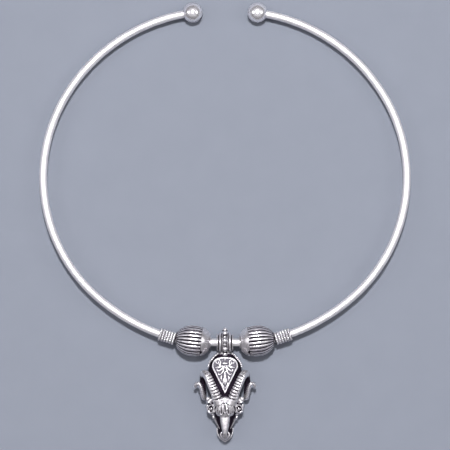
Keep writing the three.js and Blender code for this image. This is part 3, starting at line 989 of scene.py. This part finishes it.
# The fleece's locks over the brow, each from its root to its tip, and the roll that they hang from.
LOCKS = [
    ((-4.3, -24.2), (-5.2, -25.5)),
    ((-3.4, -23.8), (-4.3, -26.3)),
    ((-2.4, -23.4), (-3.0, -26.9)),
    ((-1.25, -23.1), (-1.4, -27.3)),
    ((-0.1, -22.9), (0.1, -26.7)),
    ((1.05, -23.1), (1.5, -27.4)),
    ((2.2, -23.4), (2.95, -27.0)),
    ((3.3, -23.8), (4.3, -26.4)),
    ((4.3, -24.1), (5.2, -25.6)),
]
ROLL_POINTS = 16
LOCK_POINTS = 22
LOCK_HALF_WIDTH = 0.4
HAIR_RADIUS = 0.23
FLEECE_ROLL = [(-4.7, -24.2), (-2.6, -23.35), (0, -22.3), (2.6, -23.35), (4.7, -24.1)]


def laid_line(clay, places, count, lift):
    """A smooth line of points over places (x, y), laid on the clay or above it by lift."""
    flat = line_through([(x, y, 0) for x, y in places], count)
    return clay.laid(flat[:, :2], lift)


def fleece(clay):
    """The locks of fleece on the brow, each a loop of hair, and the arched roll that they hang from."""
    for root, tip in np.array(LOCKS):
        down = (tip - root) / np.linalg.norm(tip - root)
        wide = LOCK_HALF_WIDTH * np.array((-down[1], down[0])) * rng.uniform(0.9, 1.1)
        middle = (root + tip) / 2 + rng.uniform(-0.12, 0.12, 2)
        loop = [root + 0.8 * wide, middle + 1.05 * wide, tip + 0.7 * wide - 0.35 * down, tip]
        loop += [tip - 0.7 * wide - 0.35 * down, middle - 1.05 * wide, root - 0.8 * wide]
        hair = HAIR_RADIUS * rng.uniform(0.92, 1.08)
        radii = (0.8 * hair, hair, 1.1 * hair, hair, 0.8 * hair)
        clay.stroke(laid_line(clay, loop, LOCK_POINTS, 0.06), radii, 0.05)
        clay.stroke(laid_line(clay, [root, middle], 6, -0.02), (0.12, 0.05), 0.04)
    clay.stroke(laid_line(clay, FLEECE_ROLL, 26, 0.02), (0.22, 0.34, 0.22), 0.15)


def head_patina_and_shade(x, y, z, up):
    """Patina and painted shade on the head: dark under the horns, about the plaque and the eyes, and on the
    face's steep sides.
    """
    neck = smoothstep(-21.0, -20.2, y) * smoothstep(-3.0, -5.0, y)
    crevice = smoothstep(1.3, 0.7, inside_line(shield_line(), x, y)) * smoothstep(-20.9, -20.3, y)
    eyes = smoothstep(4.2, 5.0, np.abs(x)) * smoothstep(-28.2, -27.2, y) * smoothstep(-20.5, -22.0, y)
    steep = smoothstep(0.68, 0.35, up)
    cheek = smoothstep(-27.0, -28.2, y) * np.maximum(0.85 * steep, 0.55 * smoothstep(7.2, 6.2, z))
    mouth = smoothstep(-31.5, -33.0, y) * smoothstep(4.9, 4.2, z)
    shade = np.maximum.reduce([neck, 2 * crevice, 0.95 * eyes, cheek, 0.95 * mouth, 0.45 * steep])
    return shade * smoothstep(-0.4, 0.1, up) + 0.05


def roll(clay, side, points, radii, blend, cut=False):
    """A roll of clay on either side, or its groove, along a smooth line through the right side's points."""
    line = line_through([(side * x, y, z) for x, y, z in points], ROLL_POINTS)
    clay.stroke(line, radii, blend, cut)


def eye(clay, side):
    """The mound of the eye, its socket, the eyeball and the lid about it."""
    clay.egg((side * 4.8, -24.7, 6.2), (2.0, 2.5, 2.0), 0.4, turn=side * 25)
    clay.egg((side * 5.5, -25.1, 8.3), (1.3, 1.6, 1.3), 0.2, turn=side * 30, cut=True)
    clay.egg((side * 5.45, -25.0, 6.8), (0.85, 1.05, 0.8), 0.05, turn=side * 30)
    roll(clay, side, EYELID, (0.16, 0.28, 0.26, 0.18), 0.1)


def muzzle(clay, side):
    """The cheek's ridge, the nostril, the mouth and the edge of the lower lip."""
    roll(clay, side, CHEEK, (0.3, 0.24, 0.14), 0.2)
    clay.egg((side * 4.35, -28.3, 5.4), (0.5, 0.7, 0.5), 0.15, turn=side * -25)
    roll(clay, side, NOSTRIL_EDGE, (0.14, 0.36, 0.36, 0.36), 0.3)
    roll(clay, side, NOSTRIL, (0.1, 0.2, 0.1), 0.05, cut=True)
    roll(clay, side, MOUTH, (0.1, 0.32, 0.3), 0.1, cut=True)
    roll(clay, side, LIP_EDGE, (0.12, 0.24, 0.24), 0.08)


def ear(clay, side):
    """The ear, with hairs along it that spread towards its tip."""
    clay.egg((side * 5.6, -21.9, 7.2), (1.8, 1.05, 0.6), 0.12, turn=side * 40)
    for spread in (-0.8, -0.3, 0.25, 0.75):
        root = (4.75 - 0.5 * spread, -22.6 + 0.6 * spread)
        tip = (6.75 - 0.75 * spread, -21.3 + 0.65 * spread)
        middle = ((root[0] + tip[0]) / 2, (root[1] + tip[1]) / 2)
        roll(clay, side, [(*root, 7.7), (*middle, 7.95), (*tip, 7.3)], (0.14, 0.24, 0.1), 0.05)


def head_shape():
    """The neck, skull and muzzle, with eyes, ears, nostrils, mouth and the fleece on the brow."""
    low, high = (-8.4, -38.5, -0.5), (8.4, -2.4, 11.0)
    clay = Clay(low, high, HEAD_VOXEL)
    clay.loft(NECK_AND_JAW, -1.6, 2.3)
    clay.loft(BROW, 2.0, 2.6, 0.8)
    clay.loft(NOSE, 2.0, 4.0, 0.4)
    clay.loft(LOWER_LIP, -1.2, 2.4, 0.1)
    clay.egg((0, -21.5, 9.3), (2.6, 1.15, 1.1), 0.3)
    clay.egg((0, -35.0, 5.9), (1.5, 1.75, 1.0), 0.3)
    for side in (-1, 1):
        eye(clay, side)
        muzzle(clay, side)
        ear(clay, side)
    fleece(clay)

    def below(x, y, z):
        return z

    def bail_room(x, y, z):
        return np.hypot(y, z - AXLE_Z) - BAIL_ROOM_RADIUS

    seat = shield_line(PLAQUE_GAP)

    def plaque_room(x, y, z):
        return np.maximum(inside_line(seat, x, y), PLAQUE_SEAT_Z - PLAQUE_GAP - z)

    for room in (below, bail_room, plaque_room):
        clay.work(room, *EVERYWHERE, 0, True)
    return clay.fired(0.4, 1.2, head_patina_and_shade)


# ---- Assembly ----

for side, hand in ((-1, "left"), (1, "right")):
    ball = threaded(WIRE_HALF_LENGTH, side)
    piece(f"ball_{hand}", ball_shape(), "ring", f"ball_terminal_{hand}", POLISHED, ball, BURNISHED)
    bead = threaded(BEAD_PLACE, side)
    piece(f"bead_{hand}", bead_shape(side), "ring", f"fluted_bead_{hand}", WORKED, bead)
    collar = threaded(COLLAR_PLACE, side)
    tube, wound = collar_shapes()
    piece(f"collar_{hand}", tube, "ring", f"wound_collar_{hand}", WORKED, collar)
    piece(f"collar_grains_{hand}", wound, "ring", None, WORKED, collar)

piece("wire", wire_shape(), "ring", "neck_ring_wire", POLISHED, RING_FRAME)

barrel, bail_grains = bail_shapes()
on_axle = PENDANT_FRAME @ Matrix.Translation((0, 0, AXLE_Z))
piece("bail", barrel, "pendant", "bail_barrel", WORKED, on_axle)
piece("bail_grains", bail_grains, "pendant", None, WORKED, on_axle)
piece("plaque", plaque_shape(), "pendant", "palmette_plaque", WORKED, PENDANT_FRAME, CHASED)
piece("head", head_shape(), "pendant", "ram_head", WORKED, PENDANT_FRAME)
piece("horns", horn_shapes(), "pendant", None, WORKED, PENDANT_FRAME)
piece("neck_beading", neck_beading(), "pendant", None, WORKED, PENDANT_FRAME)

# ---- The floor, the light and the camera ----

FLOOR_COLOURS = (0.184, 0.200, 0.244), (0.199, 0.216, 0.262)
FLOOR_ROUGHNESS = 0.85
FLOOR_GRAIN = 260  # patches for each metre
FLOOR_HALF_WIDTH = 1.5
FLOOR_DROP = 0.0002
ROOM_COLOUR = (0.54, 0.49, 0.6)
ROOM_STRENGTH = 0.11
CAMERA_HEIGHT = 1.3
CAMERA_Y = -0.00078
VIEW_WIDTH = 0.17
FILM_WIDTH = 36  # millimetres, as Blender has it


def floor():
    """A large pale sheet, a hair below the object's lowest point."""
    material = bpy.data.materials.new("pale_board")
    material.use_nodes = True
    nodes, link = material.node_tree.nodes, material.node_tree.links.new
    shader = nodes["Principled BSDF"]
    shader.inputs["Roughness"].default_value = FLOOR_ROUGHNESS
    grain = nodes.new("ShaderNodeTexNoise")
    grain.inputs["Scale"].default_value = FLOOR_GRAIN
    tone = nodes.new("ShaderNodeMix")
    tone.data_type = "RGBA"
    link(grain.outputs["Fac"], tone.inputs["Factor"])
    for socket, colour in zip(rgba(tone.inputs), FLOOR_COLOURS):
        socket.default_value = (*colour, 1)
    link(rgba(tone.outputs)[0], shader.inputs["Base Color"])
    mesh = bpy.data.meshes.new("floor")
    half = FLOOR_HALF_WIDTH
    corners = [(-half, -half), (half, -half), (half, half), (-half, half)]
    mesh.from_pydata([(x, y, -FLOOR_DROP) for x, y in corners], [], [(0, 1, 2, 3)])
    mesh.materials.append(material)
    made = bpy.data.objects.new("floor", mesh)
    bpy.context.scene.collection.objects.link(made)


def area_light(name, place, size, power, colour=(1, 1, 1)):
    """A square light that faces the middle of the object."""
    light = bpy.data.lights.new(name, "AREA")
    light.shape = "RECTANGLE"
    light.size = light.size_y = size
    light.energy = power
    light.color = colour
    lamp = bpy.data.objects.new(name, light)
    lamp.location = place
    lamp.rotation_euler = (Vector() - Vector(place)).to_track_quat("-Z", "Y").to_euler()
    bpy.context.scene.collection.objects.link(lamp)


floor()
area_light("overhead_softbox", (0, 0.16, 1.7), 1.05, 3.6, (1.0, 0.985, 1.0))
area_light("wide_diffuser", (0, 0.1, 1.9), 4.4, 20)
for side, hand in ((-1, "left"), (1, "right")):
    area_light(f"side_softbox_{hand}", (side * 1.5, 0.2, 1.3), 0.9, 6)
area_light("high_key", (0, 0.52, 1.65), 0.13, 35)

world = bpy.data.worlds.new("room")
world.use_nodes = True
background = world.node_tree.nodes["Background"]
background.inputs["Color"].default_value = (*ROOM_COLOUR, 1)
background.inputs["Strength"].default_value = ROOM_STRENGTH
bpy.context.scene.world = world
bpy.context.scene.view_settings.view_transform = "Standard"

optics = bpy.data.cameras.new("camera")
optics.sensor_width = FILM_WIDTH
optics.lens = FILM_WIDTH * (CAMERA_HEIGHT - axle.z) / VIEW_WIDTH
camera = bpy.data.objects.new("camera", optics)
camera.location = (0, CAMERA_Y, CAMERA_HEIGHT)
bpy.context.scene.collection.objects.link(camera)
bpy.context.scene.camera = camera
